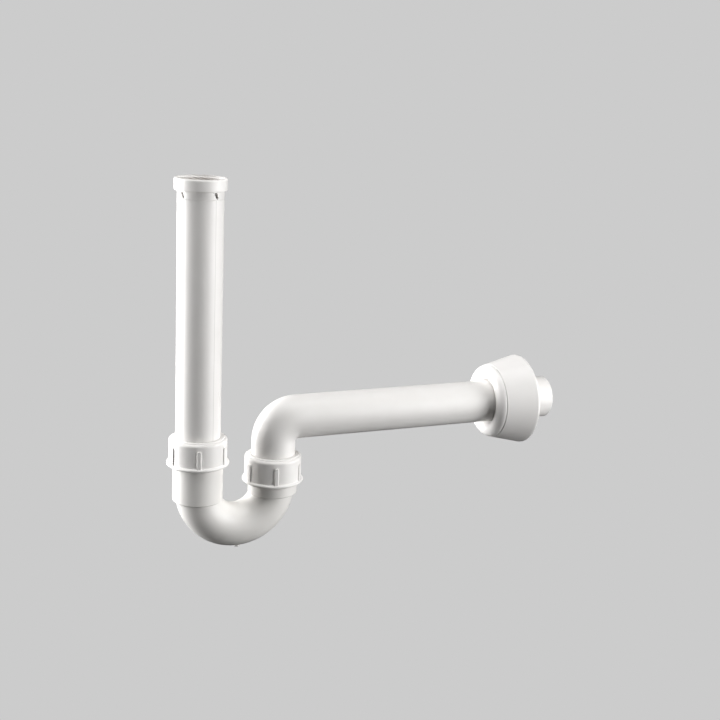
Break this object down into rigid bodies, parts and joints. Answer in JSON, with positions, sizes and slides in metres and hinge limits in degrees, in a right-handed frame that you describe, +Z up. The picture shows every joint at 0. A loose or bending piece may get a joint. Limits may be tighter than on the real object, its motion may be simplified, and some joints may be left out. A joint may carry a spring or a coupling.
{
  "type": "basin trap",
  "caption": "Tubular P-trap for a wash basin: dip pipe with union nut, U bend with slip nuts, swivelling outlet pipe with wall rosette.",
  "frame": {"origin": "centre of the mouth of the inlet union nut, on its axis", "axes": "+Z up out of the inlet thread, +X along the outlet pipe towards the wall"},
  "size_m": [0.383, 0.086, 0.3373],
  "materials": {
    "white_polypropylene": "satin moulded",
    "natural_polyethylene": "moulded",
    "pale_rubber": "moulded",
    "black_rubber": "moulded"
  },
  "bodies": {
    "root": {"inlet_pipe": "white_polypropylene", "inlet_washer": "pale_rubber"},
    "inlet_nut": {"inlet_nut": "white_polypropylene"},
    "inlet_seal": {"trap_inlet_seal": "black_rubber"},
    "trap": {"trap_bend": "white_polypropylene", "trap_outlet_seal": "black_rubber"},
    "inlet_ring": {"trap_inlet_ring": "natural_polyethylene"},
    "inlet_slip_nut": {"trap_inlet_nut": "white_polypropylene"},
    "outlet_ring": {"trap_outlet_ring": "natural_polyethylene"},
    "outlet_slip_nut": {"trap_outlet_nut": "white_polypropylene"},
    "outlet": {"outlet_pipe": "white_polypropylene"},
    "rosette": {"wall_rosette": "white_polypropylene"}
  },
  "joints": [
    {"name": "inlet_nut_turn", "type": "hinge", "parent": "root", "child": "inlet_nut", "pos_m": [0, 0, -0.005], "axis": [0, 0, 1], "continuous": true},
    {"name": "trap_height", "type": "slide", "parent": "root", "child": "inlet_seal", "axis": [0, 0, 1], "range_m": [-0.009, 0.013]},
    {"name": "trap_swivel", "type": "hinge", "parent": "inlet_seal", "child": "trap", "pos_m": [0, 0, -0.25], "axis": [0, 0, 1], "continuous": true},
    {"name": "inlet_slip_nut_lift", "type": "slide", "parent": "trap", "child": "inlet_ring", "axis": [0, 0, 1], "range_m": [0, 0.0105]},
    {"name": "inlet_slip_nut_turn", "type": "hinge", "parent": "inlet_ring", "child": "inlet_slip_nut", "pos_m": [0, 0, -0.245], "axis": [0, 0, 1], "range_deg": [0, 1260]},
    {"name": "outlet_slip_nut_lift", "type": "slide", "parent": "trap", "child": "outlet_ring", "axis": [0, 0, 1], "range_m": [0, 0.0105]},
    {"name": "outlet_slip_nut_turn", "type": "hinge", "parent": "outlet_ring", "child": "outlet_slip_nut", "pos_m": [0.071, 0, -0.268], "axis": [0, 0, 1], "range_deg": [0, 1260]},
    {"name": "outlet_swivel", "type": "hinge", "parent": "trap", "child": "outlet", "pos_m": [0.071, 0, -0.27], "axis": [0, 0, 1], "range_deg": [-135, 135]},
    {"name": "rosette_slide", "type": "slide", "parent": "outlet", "child": "rosette", "axis": [1, 0, 0], "range_m": [-0.14, 0.028]}
  ],
  "couplings": [
    {"joint": "inlet_slip_nut_turn", "follows": "inlet_slip_nut_lift", "rad_per_m": 2094.4},
    {"joint": "outlet_slip_nut_turn", "follows": "outlet_slip_nut_lift", "rad_per_m": 2094.4}
  ]
}
